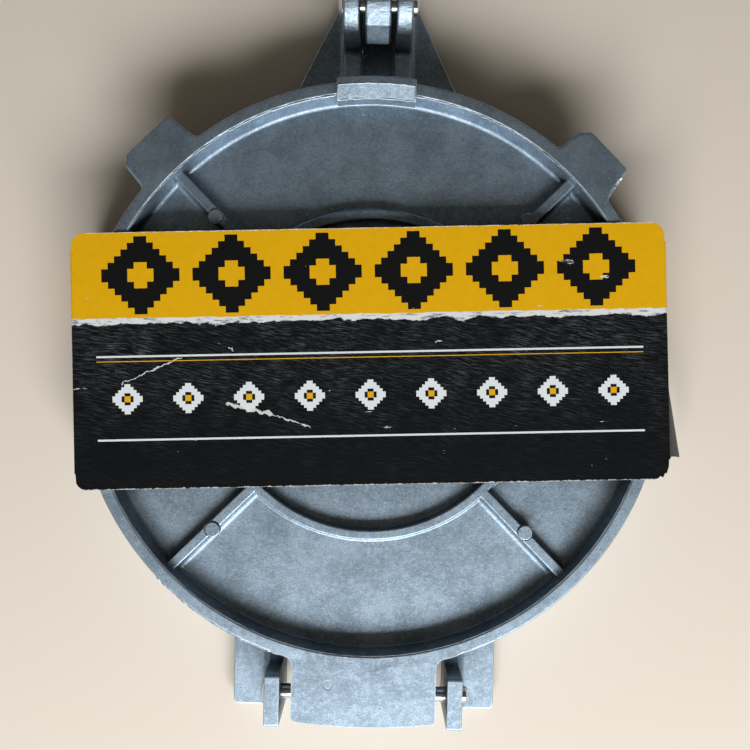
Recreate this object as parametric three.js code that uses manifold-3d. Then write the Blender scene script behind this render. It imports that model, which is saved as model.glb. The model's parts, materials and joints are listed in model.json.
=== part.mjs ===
import * as THREE from "three";
import { mergeVertices } from "three/addons/utils/BufferGeometryUtils.js";
import Module from "manifold-3d";

// A hand press for tortillas, cast in aluminium, closed, with its lever laid back.
// Lengths are in millimetres. +Z is up, +Y points to the lever and -Y to the hinge.
// All pieces are drawn round the middle of the pressing plates, on the table.

// Pressing plates
const plateRadius = 108;
const plateDraft = 0.6;
const lowerHeight = 15;
const lowerWeb = 5;
const plateGap = 0.3;
const upperHeight = 14.7;
const recessDepth = 8;
const rimWidth = 4.5;
const recessDraft = 1.7;
const recessFillet = 1.2;
const castEdge = 0.5;

// Ring and ribs on both castings
const ringRadius = 61.4;
const ringWidth = 3.5;
const ringDraft = 0.5;
const ribHeight = 4;
const ribWidth = 3.7;
const ribDraft = 0.5;
const ribTurn = Math.PI / 4;
const ribCount = 4;
const studReach = 82;
const studRadius = 2.75;
const studOffset = 1;
const studRise = 0.2;

// Two lugs on the front half of the upper plate, each with one cut corner
const lugLength = 12.2;
const rightLugWidth = 21.6;
const leftLugWidth = 23.8;
const lugFlare = 1;
const rightLugFlare = 3;
const leftLugFlare = 2;
const lugHeight = 8;
const lugCut = 2.8;
const lugCorner = 1;
const lugFillet = 2;
const lugDraft = 0.9;
const lugTurn = Math.PI / 4;

// Raised pad that the lever presses on
const padWidth = 29.2;
const padRise = 2;
const padProud = 1;
const padFlat = 2.8;
const padRamp = 4.9;
const padDrop = 2;

// Hinge tab of the upper plate
const tabWidth = 53;
const tabTail = 9;
const tabCrown = 1.6;
const tabCorner = 1.5;
const tabFillet = 4;
const tabTop = 4;
const tabCheek = 5;
const tabSkirt = 4;
const skirtBottom = 9.5;
const barrelRadius = 8;
const hollowCorner = 2;
const hollowSetback = 4;

// Hinge ears, arms and wings of the lower plate
const hingeReach = 12.4;
const hingeAxisZ = 19;
const hingeSideGap = 4.3;
const earWidth = 5.7;
const earTop = 29.6;
const earNose = 9.9;
const earTail = 9.9;
const earCorner = 1.5;
const armTop = 13;
const armFillet = 4;
const wingSpan = 51;
const wingHeight = 6.8;
const wingCorner = 2;
const wingFillet = 4;

// Lever clevis and tongue of the lower plate
const clevisReach = 26.8;
const leverAxisZ = 30;
const leverSideGap = 2;
const clevisWall = 5.75;
const clevisRadius = 10.5;
const clevisInnerDraft = 0.8;
const clevisOuterDraft = 0.65;
const clevisFillet = 3;
const webTop = 12;
const tongueRootWidth = 70;
const tongueTipWidth = 27;
const tongueTail = 13.2;
const tongueHeight = 7;
const tongueCorner = 3;
const tongueFillet = 3;

// Lever, drawn from its pivot along its length
const leverWidth = 9.6;
const leverReach = 215;
const heelLength = 10;
const heelTop = 7;
const crestTop = 10.6;
const crestRound = 6;
const heelBottom = 9.5;
const heelCorner = 1.6;
const heelFloorCorner = 3;
const eyeLength = 11;
const pressStart = 20;
const pressFace = 4.5;
const beamDepth = 10;
const beamTipDepth = 6.5;
const beamCorner = 6;
const beamEnd = 140;
const beamTaperEnd = 118;
const leverEdge = 1.2;
const pocketStart = 24;
const pocketEnd = 106;
const pocketFlange = 3;
const pocketDepth = 2.8;
const pocketCorner = 2.4;
const gripStart = 112;
const gripFull = 150;
const gripHalfWidth = 9.5;
const gripHalfDepth = 7;
const gripEndRound = 10;
const gripRootHalfWidth = 4;
const gripRootHalfDepth = 4.6;
const gripSquareness = 2.6;

// Rivets
const rivetRadius = 2.7;
const rivetClear = 0.3;
const headRadius = 5.5;
const headHeight = 2;
const peenRadius = 3.15;
const peenEdge = 0.6;
const hingePeen = 3;
const leverPeen = 2.5;

// Card band laid over the closed plates
const bandSideGap = 0.4;
const bandHeight = 94;
const bandThickness = 0.6;
const bandCentreX = -0.3;
const bandCentreY = 6.7;
const bandTurn = 0.042;
const bandClear = 0.3;
const bandCornerWidth = 5.5;
const bandCornerHeight = 7.6;
const bandCornerRound = 4;
const flapDepth = 25;
const flapSplay = 1.6;
const rightFlapSpread = 10;

// How finely round forms are cut
const plateSteps = 96;
const arcSteps = 5;
const roundSteps = 28;
const gripSteps = 20;
const gripSides = 24;
const flapSteps = 10;

// How far a cut runs past what it cuts, and a joined piece into what carries it
const overrun = 1;
const weld = 1e-4;
const floorClear = 0.2;

const partingPlane = lowerHeight + plateGap;
const rimTop = partingPlane + upperHeight;
const recessFloor = rimTop - recessDepth;
const ribTop = recessFloor + ribHeight;
const lowerCeiling = lowerHeight - lowerWeb;
const wallMiddle = plateRadius - rimWidth / 2;
const ringMiddle = ringRadius - ringWidth / 2;
const hingeAxisY = -plateRadius - hingeReach;
const tabRear = hingeAxisY - tabTail;
const earRear = hingeAxisY - earTail;
const earInner = tabWidth / 2 + hingeSideGap;
const earOuter = earInner + earWidth;
const leverAxisY = plateRadius + clevisReach;
const clevisTop = leverAxisZ + clevisRadius;
const clevisInner = leverWidth / 2 + leverSideGap;
const clevisOuter = clevisInner + clevisWall;
const tongueEnd = leverAxisY + tongueTail;

const wasm = await Module();
wasm.setup();

// The solid of a closed geometry, with its shared corners merged.
function solidOf(geometry) {
  const bare = new THREE.BufferGeometry();
  bare.setAttribute("position", geometry.getAttribute("position"));
  bare.setIndex(geometry.index);
  const merged = mergeVertices(bare, weld);
  const corners = merged.index.array;
  const kept = [];
  for (let i = 0; i < corners.length; i += 3) {
    const [a, b, c] = corners.slice(i, i + 3);
    if (a !== b && b !== c && c !== a) kept.push(a, b, c);
  }
  return new wasm.Manifold(
    new wasm.Mesh({
      numProp: 3,
      vertProperties: merged.getAttribute("position").array,
      triVerts: new Uint32Array(kept),
    }),
  );
}

// The mesh of a solid, under its name and with its material.
function meshOf(name, solid, material) {
  const made = solid.getMesh();
  const geometry = new THREE.BufferGeometry();
  geometry.setAttribute("position", new THREE.BufferAttribute(made.vertProperties, 3));
  geometry.setIndex(new THREE.BufferAttribute(made.triVerts, 1));
  geometry.computeVertexNormals();
  const mesh = new THREE.Mesh(geometry, material);
  mesh.name = name;
  return mesh;
}

function joined(solids) {
  return solids.reduce((whole, solid) => whole.add(solid));
}

// A closed outline through corners of x, y and an optional radius, each round an exact arc.
function outline(corners, steps = arcSteps) {
  const places = corners.map(([x, y]) => new THREE.Vector2(x, y));
  const points = corners.flatMap(([, , radius = 0], i) => {
    const here = places[i];
    if (!radius) return [here];
    const back = places.at(i - 1).clone().sub(here).normalize();
    const on = places[(i + 1) % places.length].clone().sub(here).normalize();
    const half = Math.acos(back.dot(on)) / 2;
    const inward = back.clone().add(on).normalize();
    const centre = here.clone().addScaledVector(inward, radius / Math.sin(half));
    const start = here.clone().addScaledVector(back, radius / Math.tan(half)).sub(centre).angle();
    const end = here.clone().addScaledVector(on, radius / Math.tan(half)).sub(centre).angle();
    const isClockwise = back.cross(on) > 0;
    const arc = new THREE.EllipseCurve(centre.x, centre.y, radius, radius, start, end, isClockwise);
    return arc.getPoints(steps);
  });
  return new THREE.Shape(points);
}

// An outline in X and Y raised from one height to another, with its edges broken by edge.
function raised(shape, low, high, edge = 0) {
  const geometry = new THREE.ExtrudeGeometry(shape, {
    depth: high - low - 2 * edge,
    bevelEnabled: edge > 0,
    bevelThickness: edge,
    bevelSize: edge,
    bevelOffset: -edge,
    bevelSegments: 1,
  });
  return geometry.translate(0, 0, low + edge);
}

// An outline in Y and Z drawn out along X from one place to another.
function alongX(shape, from, to, edge = 0) {
  const turn = new THREE.Matrix4().makeBasis(
    new THREE.Vector3(0, 1, 0),
    new THREE.Vector3(0, 0, 1),
    new THREE.Vector3(1, 0, 0),
  );
  return raised(shape, from, to, edge).applyMatrix4(turn);
}

// An outline in X and Z drawn out along Y from one place to another.
function alongY(shape, from, to) {
  const turn = new THREE.Matrix4().makeBasis(
    new THREE.Vector3(1, 0, 0),
    new THREE.Vector3(0, 0, 1),
    new THREE.Vector3(0, -1, 0),
  );
  return raised(shape, -to, -from).applyMatrix4(turn);
}

// A profile of radius and height turned round Z.
function turned(profile, steps) {
  const points = profile.map(([radius, height]) => new THREE.Vector2(radius, height));
  return new THREE.LatheGeometry(points, steps).rotateX(Math.PI / 2);
}

// A round rod along X through a pivot, as the tool of a cross bore.
function crossBore(y, z, radius, halfLength) {
  const rod = new THREE.CylinderGeometry(radius, radius, 2 * halfLength, roundSteps);
  return solidOf(rod.rotateZ(Math.PI / 2).translate(0, y, z));
}

function diskTool(radius, low, high) {
  const disk = new THREE.CylinderGeometry(radius, radius, high - low, plateSteps);
  return solidOf(disk.rotateX(Math.PI / 2).translate(0, 0, (low + high) / 2));
}

// A hollow round in the inner corner between an upright face at x and a floor at z.
function innerCorner(x, z, radius, side, from, to) {
  const shape = outline([
    [x - side * overrun, z - overrun],
    [x + side * radius, z - overrun],
    [x + side * radius, z],
    [x, z, radius],
    [x, z + radius],
    [x - side * overrun, z + radius],
  ]);
  return solidOf(alongY(shape, from, to));
}

// Profile points of a hollow quarter round from an upright wall to a floor.
function coveProfile(wallRadius, floor, radius, rise) {
  return Array.from({ length: arcSteps + 1 }, (_, i) => {
    const turn = (i / arcSteps) * (Math.PI / 2);
    return [
      wallRadius - radius * (1 - Math.cos(turn)),
      floor + rise * radius * (1 - Math.sin(turn)),
    ];
  });
}

// The ribs and ejector studs that run from the ring to the rim, on one face of a web.
function ribsAndStuds(face, rise) {
  const tip = face + rise * ribHeight;
  const root = face - rise * overrun;
  const top = ribWidth / 2;
  const foot = top + ribDraft;
  const section = outline([[-foot, face], [-foot, root], [foot, root], [foot, face], [top, tip], [-top, tip]]);
  const studTip = tip + rise * studRise;
  const pieces = [];
  for (let i = 0; i < ribCount; i += 1) {
    const turn = ribTurn + (i * 2 * Math.PI) / ribCount;
    pieces.push(solidOf(alongX(section, ringMiddle, wallMiddle).rotateZ(turn)));
    const stud = new THREE.CylinderGeometry(studRadius, studRadius, Math.abs(studTip - root), roundSteps);
    stud.rotateX(Math.PI / 2).translate(studReach, studOffset, (studTip + root) / 2);
    pieces.push(solidOf(stud.rotateZ(turn)));
  }
  return joined(pieces);
}

// The dished disc of the lower casting, with its ring, ribs and skirt underneath.
function lowerDisc() {
  const outer = plateRadius + plateDraft;
  const innerFoot = plateRadius - rimWidth;
  const innerTop = innerFoot - recessDraft;
  const ringInner = ringRadius - ringWidth;
  const ringTip = lowerCeiling - ribHeight;
  return solidOf(
    turned(
      [
        [0, lowerCeiling],
        [ringInner - ringDraft, lowerCeiling],
        [ringInner, ringTip],
        [ringRadius, ringTip],
        [ringRadius + ringDraft, lowerCeiling],
        ...coveProfile(innerTop, lowerCeiling, recessFillet, -1).reverse(),
        [innerFoot, 0],
        [plateRadius - castEdge, 0],
        [plateRadius, castEdge],
        [outer, lowerHeight - castEdge],
        [outer - castEdge, lowerHeight],
        [0, lowerHeight],
      ],
      plateSteps,
    ),
  ).add(ribsAndStuds(lowerCeiling, -1));
}

// The round part of the upper casting: a flat pressing face, and a rim round a recess.
function upperDisc() {
  const outer = plateRadius + plateDraft;
  const inner = plateRadius - rimWidth;
  const foot = inner - recessDraft;
  const ringInner = ringRadius - ringWidth;
  return solidOf(
    turned(
      [
        [0, partingPlane],
        [outer - castEdge, partingPlane],
        [outer, partingPlane + castEdge],
        [plateRadius, rimTop - castEdge],
        [plateRadius - castEdge, rimTop],
        [inner, rimTop],
        [inner - castEdge, rimTop - castEdge],
        ...coveProfile(foot, recessFloor, recessFillet, 1),
        [ringRadius + ringDraft, recessFloor],
        [ringRadius, ribTop],
        [ringInner, ribTop],
        [ringInner - ringDraft, recessFloor],
        [0, recessFloor],
      ],
      plateSteps,
    ),
  ).add(ribsAndStuds(recessFloor, 1));
}

// One lug, drawn along X with its sides leaning out to the foot, then turned to its place.
// The side with the cut corner widens by the common flare, the other side by its own.
function lug(turn, width, ownFlare) {
  const end = width / 2;
  const root = end + lugFlare;
  const wideRoot = end + ownFlare;
  const flare = wideRoot + 2 * lugFillet;
  const reach = plateRadius + lugLength;
  const onRim = (y) => Math.sqrt(plateRadius ** 2 - y ** 2);
  const shape = outline([
    [onRim(flare) - rimWidth, -flare],
    [onRim(flare), -flare],
    [onRim(wideRoot), -wideRoot, lugFillet],
    [reach, -end, lugCorner],
    [reach, end - lugCut],
    [reach - lugCut, end],
    [onRim(root), root, lugFillet],
    [onRim(flare), flare],
    [onRim(flare) - rimWidth, flare],
  ]);
  const geometry = raised(shape, rimTop - lugHeight, rimTop, castEdge);
  const points = geometry.getAttribute("position");
  for (let i = 0; i < points.count; i += 1) {
    const lean = (lugDraft * (rimTop - points.getZ(i))) / lugHeight;
    points.setX(i, points.getX(i) + (lean * (points.getX(i) - plateRadius)) / lugLength);
    points.setY(i, points.getY(i) + (lean * points.getY(i)) / root);
  }
  return solidOf(geometry.rotateZ(turn));
}

// The raised pad, turned with the rim and cut to its width.
function pad() {
  const outer = plateRadius + padProud;
  const top = rimTop + padRise;
  const rampStart = outer - padFlat;
  const rampEnd = rampStart - padRamp;
  const band = solidOf(
    turned(
      [
        [rampEnd, recessFloor - overrun],
        [outer, recessFloor - overrun],
        [outer, top - castEdge],
        [outer - castEdge, top],
        [rampStart, top],
        [rampEnd, top - padDrop],
        [rampEnd, recessFloor - overrun],
      ],
      plateSteps,
    ),
  );
  const half = padWidth / 2;
  const width = outline([[-half, 0], [half, 0], [half, outer + overrun], [-half, outer + overrun]]);
  return band.intersect(solidOf(raised(width, 0, top + overrun)));
}

// The hinge tab: a plate level with the rim, with a rear skirt and two cheeks round the rivet.
function hingeTab() {
  const half = tabWidth / 2;
  const flare = half + 2 * tabFillet;
  const onRim = (x) => -Math.sqrt(plateRadius ** 2 - x ** 2);
  const rear = Array.from({ length: 2 * arcSteps + 1 }, (_, i) => {
    const side = i / arcSteps - 1;
    return [side * half, tabRear + tabCrown * side ** 2];
  });
  rear[0].push(tabCorner);
  rear[2 * arcSteps].push(tabCorner);
  const plan = outline([
    ...rear,
    [half, onRim(half), tabFillet],
    [flare, onRim(flare)],
    [flare, onRim(flare) + rimWidth],
    [-flare, onRim(flare) + rimWidth],
    [-flare, onRim(flare)],
    [-half, onRim(half), tabFillet],
  ]);
  const inside = rimWidth / 2 - plateRadius;
  const behind = tabRear - overrun;
  const block = outline([
    [inside, partingPlane],
    [inside, rimTop],
    [behind, rimTop],
    [behind, partingPlane],
  ]);
  const skirt = outline([
    [behind, skirtBottom],
    [tabRear + tabSkirt, skirtBottom],
    [tabRear + tabSkirt, rimTop],
    [behind, rimTop],
  ]);
  const body = joined([
    solidOf(alongX(block, -flare, flare)),
    solidOf(alongX(skirt, -half, half)),
    crossBore(hingeAxisY, hingeAxisZ, barrelRadius, half),
  ]).intersect(solidOf(raised(plan, 0, rimTop)));
  const hollowHalf = half - tabCheek;
  const hollow = outline([
    [-hollowHalf, tabRear + tabSkirt, hollowCorner],
    [hollowHalf, tabRear + tabSkirt, hollowCorner],
    [hollowHalf, -plateRadius - hollowSetback, hollowCorner],
    [-hollowHalf, -plateRadius - hollowSetback, hollowCorner],
  ]);
  return body
    .subtract(solidOf(raised(hollow, 0, rimTop - tabTop)))
    .subtract(crossBore(hingeAxisY, hingeAxisZ, rivetRadius + rivetClear, flare));
}

function upperPlate() {
  const lugs = [
    lug(lugTurn, rightLugWidth, rightLugFlare),
    lug(Math.PI - lugTurn, leftLugWidth, leftLugFlare),
  ];
  const outside = joined([...lugs, hingeTab()]);
  const kept = outside.subtract(diskTool(wallMiddle, 0, rimTop + overrun));
  return joined([upperDisc(), kept, pad()]);
}

// One ear of the hinge with the arm that ties it to the disc.
function hingeEar(side) {
  const inner = side * earInner;
  const outer = side * earOuter;
  const shape = outline([
    [earRear, 0],
    [earRear, earTop, earCorner],
    [hingeAxisY + earNose, earTop, earCorner],
    [hingeAxisY + earNose, armTop, armFillet],
    [2 * rimWidth - plateRadius, armTop],
    [2 * rimWidth - plateRadius, 0],
  ]);
  return solidOf(alongX(shape, Math.min(inner, outer), Math.max(inner, outer)));
}

// The low wing beside an ear, and the hollow round between them.
function hingeWing(side) {
  const inside = 2 * rimWidth - plateRadius;
  const shape = outline([
    [side * earInner, earRear],
    [side * wingSpan, earRear, wingCorner],
    [side * wingSpan, rimWidth - Math.sqrt(wallMiddle ** 2 - wingSpan ** 2)],
    [side * earInner, inside],
  ]);
  const round = innerCorner(side * earOuter, wingHeight, wingFillet, side, earRear, inside);
  return solidOf(raised(shape, 0, wingHeight)).add(round);
}

// One ear of the lever clevis with the web that ties it to the disc.
function clevisEar(side) {
  const rim = plateRadius - 2 * rimWidth;
  const front = leverAxisY - clevisRadius;
  const shape = outline(
    [
      [rim, 0],
      [leverAxisY + clevisRadius, 0],
      [leverAxisY + clevisRadius, clevisTop, clevisRadius],
      [front, clevisTop, clevisRadius],
      [front, webTop, clevisFillet],
      [rim, webTop],
    ],
    2 * arcSteps,
  );
  const innerFace = side * clevisInner;
  const outerFace = side * clevisOuter;
  const geometry = alongX(shape, Math.min(innerFace, outerFace), Math.max(innerFace, outerFace));
  const points = geometry.getAttribute("position");
  const middle = (innerFace + outerFace) / 2;
  for (let i = 0; i < points.count; i += 1) {
    const drop = (clevisTop - points.getZ(i)) / clevisTop;
    const isOuter = (points.getX(i) - middle) * side > 0;
    const lean = isOuter ? clevisOuterDraft : -clevisInnerDraft;
    points.setX(i, points.getX(i) + side * lean * drop);
  }
  return solidOf(geometry);
}

// The tapered tongue under the clevis, with hollow rounds along its ears.
function tongue() {
  const rim = plateRadius - 2 * rimWidth;
  const shape = outline([
    [-tongueRootWidth / 2, rim],
    [tongueRootWidth / 2, rim],
    [tongueRootWidth / 2, rim + rimWidth],
    [tongueTipWidth / 2, tongueEnd, tongueCorner],
    [-tongueTipWidth / 2, tongueEnd, tongueCorner],
    [-tongueRootWidth / 2, rim + rimWidth],
  ]);
  const body = solidOf(raised(shape, 0, tongueHeight));
  const foot = clevisOuter + (clevisOuterDraft * (clevisTop - tongueHeight)) / clevisTop;
  const rounds = [-1, 1].map((side) =>
    innerCorner(side * foot, tongueHeight, tongueFillet, side, rim, leverAxisY + clevisRadius),
  );
  return joined([body, ...rounds]).intersect(solidOf(raised(shape, 0, clevisTop)));
}

function lowerPlate() {
  const sides = [-1, 1];
  const outside = joined([
    ...sides.map(hingeEar),
    ...sides.map(hingeWing),
    ...sides.map(clevisEar),
    tongue(),
  ]);
  const bore = rivetRadius + rivetClear;
  return lowerDisc()
    .add(outside.subtract(diskTool(wallMiddle, -overrun, clevisTop + overrun)))
    .subtract(crossBore(hingeAxisY, hingeAxisZ, bore, earOuter + overrun))
    .subtract(crossBore(leverAxisY, leverAxisZ, bore, clevisOuter + overrun));
}

// The side view of the lever's beam, from its heel over the crest of its eye to where it runs into the grip.
function beamOutline() {
  return outline([
    [-heelLength, -heelBottom, heelFloorCorner],
    [eyeLength, -beamDepth],
    [beamTaperEnd, -beamTipDepth],
    [beamEnd, -beamTipDepth + leverEdge],
    [beamEnd, pressFace - leverEdge],
    [beamTaperEnd, pressFace],
    [pressStart, pressFace, beamCorner],
    [eyeLength, heelTop, beamCorner],
    [0, crestTop, crestRound],
    [-heelLength, heelTop, heelCorner],
  ]);
}

// The sunk panel on one side of the beam, which leaves a flange above and below it.
function pocket(side) {
  const slope = (beamDepth - beamTipDepth) / (beamTaperEnd - eyeLength);
  const floorAt = (reach) => -beamDepth + slope * (reach - eyeLength) + pocketFlange;
  const shape = outline([
    [pocketStart, floorAt(pocketStart), pocketCorner],
    [pocketEnd, floorAt(pocketEnd), pocketCorner],
    [pocketEnd, pressFace - pocketFlange, pocketCorner],
    [pocketStart, pressFace - pocketFlange, pocketCorner],
  ]);
  const face = leverWidth / 2;
  const floor = face - pocketDepth;
  const reach = face + overrun;
  return solidOf(alongX(shape, side > 0 ? floor : -reach, side > 0 ? reach : -floor));
}

// The rounded grip: sections along the lever that swell from the beam and close in a round end.
function grip() {
  const middle = (pressFace - beamTipDepth) / 2;
  const positions = [];
  const sections = [];
  for (let i = 0; i <= gripSteps; i += 1) {
    const roundShare = Math.min(1, Math.max(0, (2 * i) / gripSteps - 1));
    const swellShare = Math.min(1, (2 * i) / gripSteps);
    const ease = (1 - Math.cos(Math.PI * swellShare)) / 2;
    const angle = (roundShare * Math.PI) / 2;
    const closing = Math.cos(angle);
    const straightEnd = leverReach - gripEndRound;
    const reach =
      roundShare > 0
        ? straightEnd + gripEndRound * Math.sin(angle)
        : gripStart + (gripFull - gripStart) * swellShare;
    sections.push([
      reach,
      closing * (gripRootHalfWidth + (gripHalfWidth - gripRootHalfWidth) * ease),
      closing * (gripRootHalfDepth + (gripHalfDepth - gripRootHalfDepth) * ease),
    ]);
  }
  const start = sections[0][0];
  positions.push(0, start, middle);
  for (const [reach, halfWidth, halfDepth] of sections.slice(0, -1)) {
    for (let i = 0; i < gripSides; i += 1) {
      const turn = (2 * Math.PI * i) / gripSides;
      const spread = (value) => Math.sign(value) * Math.abs(value) ** (2 / gripSquareness);
      positions.push(halfWidth * spread(Math.cos(turn)), reach, middle + halfDepth * spread(Math.sin(turn)));
    }
  }
  positions.push(0, leverReach, middle);
  const faces = [];
  const last = positions.length / 3 - 1;
  for (let i = 0; i < gripSides; i += 1) {
    const next = (i + 1) % gripSides;
    faces.push(0, 1 + i, 1 + next);
    for (let ring = 0; ring < gripSteps - 1; ring += 1) {
      const near = 1 + ring * gripSides;
      const far = near + gripSides;
      faces.push(near + i, far + i, far + next);
      faces.push(near + i, far + next, near + next);
    }
    const rim = 1 + (gripSteps - 1) * gripSides;
    faces.push(last, rim + next, rim + i);
  }
  const geometry = new THREE.BufferGeometry();
  geometry.setAttribute("position", new THREE.Float32BufferAttribute(positions, 3));
  geometry.setIndex(faces);
  return solidOf(geometry);
}

function lever() {
  const half = leverWidth / 2;
  return solidOf(alongX(beamOutline(), -half, half, leverEdge))
    .subtract(pocket(-1))
    .subtract(pocket(1))
    .add(grip())
    .subtract(crossBore(0, 0, rivetRadius + rivetClear, half + overrun));
}

// How far the laid back lever dips, so that its grip just clears the table.
function leverDip() {
  const reach = leverReach - gripEndRound;
  const drop = gripHalfDepth - (pressFace - beamTipDepth) / 2;
  const span = Math.hypot(reach, drop);
  return Math.asin((leverAxisZ - floorClear) / span) - Math.atan2(drop, reach);
}

// A rivet along X: a domed head on the left, a shank and a peened end on the right.
function rivet(halfSpan, peen) {
  const capRadius = (headRadius ** 2 + headHeight ** 2) / (2 * headHeight);
  const capTurn = Math.asin(headRadius / capRadius);
  const under = -halfSpan - rivetClear;
  const dome = Array.from({ length: 2 * arcSteps + 1 }, (_, i) => {
    const turn = (capTurn * i) / (2 * arcSteps);
    return [capRadius * Math.sin(turn), under - headHeight + capRadius * (1 - Math.cos(turn))];
  });
  const start = halfSpan + rivetClear;
  const end = halfSpan + peen;
  return solidOf(
    turned(
      [
        ...dome,
        [rivetRadius, under],
        [rivetRadius, start],
        [peenRadius, start],
        [peenRadius, end - peenEdge],
        [peenRadius - peenEdge, end],
        [0, end],
      ],
      roundSteps,
    ).rotateY(Math.PI / 2),
  );
}

// One flap of the card: sections from the front to the rear, towards which its lower edge may stand out.
function flap(side, spread) {
  const fold = plateRadius + bandSideGap + bandThickness;
  const low = rimTop + bandClear;
  const end = bandHeight / 2 - bandCornerHeight;
  const positions = [];
  const faces = [];
  for (let i = 0; i <= flapSteps; i += 1) {
    const lengthShare = i / flapSteps;
    const y = end - 2 * end * lengthShare;
    const splay = flapSplay + spread * lengthShare;
    const foot = low - Math.sqrt(flapDepth ** 2 - splay ** 2);
    positions.push(side * fold, y, low + bandThickness);
    positions.push(side * (fold + splay), y, foot);
    positions.push(side * (fold + splay - bandThickness), y, foot);
    positions.push(side * (fold - bandThickness), y, low + bandThickness);
  }
  const addQuad = (a, b, c, d) => faces.push(...(side < 0 ? [a, b, c, a, c, d] : [a, c, b, a, d, c]));
  for (let i = 0; i < flapSteps; i += 1) {
    const near = 4 * i;
    const far = near + 4;
    for (let k = 0; k < 4; k += 1) {
      const next = (k + 1) % 4;
      addQuad(near + k, near + next, far + next, far + k);
    }
  }
  const last = 4 * flapSteps;
  addQuad(3, 2, 1, 0);
  addQuad(last, last + 1, last + 2, last + 3);
  const geometry = new THREE.BufferGeometry();
  geometry.setAttribute("position", new THREE.Float32BufferAttribute(positions, 3));
  geometry.setIndex(faces);
  return solidOf(geometry);
}

// The card band: a flat face with cut corners and a flap folded down on each side.
function cardBand() {
  const halfWidth = plateRadius + bandSideGap + bandThickness;
  const halfHeight = bandHeight / 2;
  const flapEnd = halfHeight - bandCornerHeight;
  const face = outline([
    [-halfWidth, -flapEnd],
    [bandCornerWidth - halfWidth, -halfHeight, bandCornerRound],
    [halfWidth - bandCornerWidth, -halfHeight, bandCornerRound],
    [halfWidth, -flapEnd],
    [halfWidth, flapEnd],
    [halfWidth - bandCornerWidth, halfHeight, bandCornerRound],
    [bandCornerWidth - halfWidth, halfHeight, bandCornerRound],
    [-halfWidth, flapEnd],
  ]);
  const low = rimTop + bandClear;
  return joined([solidOf(raised(face, low, low + bandThickness)), flap(-1, 0), flap(1, rightFlapSpread)]);
}

const aluminium = new THREE.MeshStandardMaterial({ color: 0xa4acb4, roughness: 0.45, metalness: 0.9 });
const steel = new THREE.MeshStandardMaterial({ color: 0xc6cbd0, roughness: 0.25, metalness: 1 });
const card = new THREE.MeshStandardMaterial({ color: 0xd9a21b, roughness: 0.7, metalness: 0 });

const press = new THREE.Group();

const leverRest = new THREE.Group();
leverRest.position.set(0, leverAxisY, leverAxisZ);
leverRest.rotation.x = -leverDip();
leverRest.add(meshOf("lever", lever(), aluminium));

const hingeRivet = meshOf("hinge_rivet", rivet(earOuter, hingePeen), steel);
hingeRivet.position.set(0, hingeAxisY, hingeAxisZ);

const leverRivet = meshOf("lever_rivet", rivet(clevisOuter, leverPeen), steel);
leverRivet.position.set(0, leverAxisY, leverAxisZ);

const band = meshOf("card_band", cardBand(), card);
band.position.set(bandCentreX, bandCentreY, 0);
band.rotation.z = bandTurn;

press.add(
  meshOf("lower_plate", lowerPlate(), aluminium),
  meshOf("upper_plate", upperPlate(), aluminium),
  leverRest,
  hingeRivet,
  leverRivet,
  band,
);

// The origin is the middle of the part's box, on the table.
const box = new THREE.Box3().setFromObject(press, true);
const middle = box.getCenter(new THREE.Vector3());
press.position.set(-middle.x, -middle.y, -box.min.z);

export default press;
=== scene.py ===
import json
from functools import partial
from math import asin, atan2, copysign, cos, hypot, pi, radians, sin, sqrt, tan

import bmesh
import bpy
from mathutils import Matrix, Vector, noise


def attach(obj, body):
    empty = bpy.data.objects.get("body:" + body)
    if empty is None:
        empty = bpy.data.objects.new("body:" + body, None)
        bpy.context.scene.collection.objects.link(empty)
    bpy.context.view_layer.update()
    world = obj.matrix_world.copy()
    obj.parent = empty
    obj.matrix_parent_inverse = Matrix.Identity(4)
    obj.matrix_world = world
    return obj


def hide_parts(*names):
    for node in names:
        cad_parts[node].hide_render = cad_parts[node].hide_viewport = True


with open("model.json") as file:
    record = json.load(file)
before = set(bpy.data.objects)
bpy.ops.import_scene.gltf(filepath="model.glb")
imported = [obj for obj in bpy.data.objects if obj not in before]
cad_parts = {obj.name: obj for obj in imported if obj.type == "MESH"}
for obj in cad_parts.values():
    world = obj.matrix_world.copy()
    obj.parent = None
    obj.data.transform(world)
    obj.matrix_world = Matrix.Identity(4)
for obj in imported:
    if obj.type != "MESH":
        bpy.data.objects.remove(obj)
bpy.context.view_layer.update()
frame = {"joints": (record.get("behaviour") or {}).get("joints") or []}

mm = 0.001
joints = {joint["name"]: joint for joint in frame["joints"]}
hingeSpot = Vector(joints["top_plate_hinge"]["pos_m"]) / mm
leverSpot = Vector(joints["lever_pivot"]["pos_m"]) / mm

# The plates, shared by both castings: millimetres round the middle of the plates
plates = {
    "radius": 108.0,
    "draft": 0.6,
    "lowerHeight": 15.0,
    "lowerWeb": 5.0,
    "partingPlane": 15.3,
    "rimTop": 30.0,
    "recessFloor": 22.0,
    "rimWidth": 4.5,
    "recessDraft": 1.7,
    "ringRadius": 61.4,
    "ringWidth": 3.5,
    "ribHeight": 4.0,
    "ribWidth": 3.7,
    "studReach": 82.0,
    "studRadius": 2.75,
    "studOffset": 1.0,
    "studRise": 0.6,
    "studEdge": 0.35,
    "grooveWidth": 0.45,
    "grooveDepth": 0.5,
    "hingeReach": 12.4,    # from the rim to the hinge's axis
    "rootDepth": 9.0,      # how far inside the rim the arms and the tongue begin
    "boreRadius": 3.0,     # of both hinges
    "steps": 192,
}
discSpot = Vector((hingeSpot.x, hingeSpot.y + plates["radius"] + plates["hingeReach"], 0))

# Distances from the plates' middle that several forms share
rimInner = plates["radius"] - plates["rimWidth"]
wallMiddle = plates["radius"] - plates["rimWidth"] / 2
rootStart = plates["radius"] - plates["rootDepth"]
hingeY = -(plates["radius"] + plates["hingeReach"])


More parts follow.
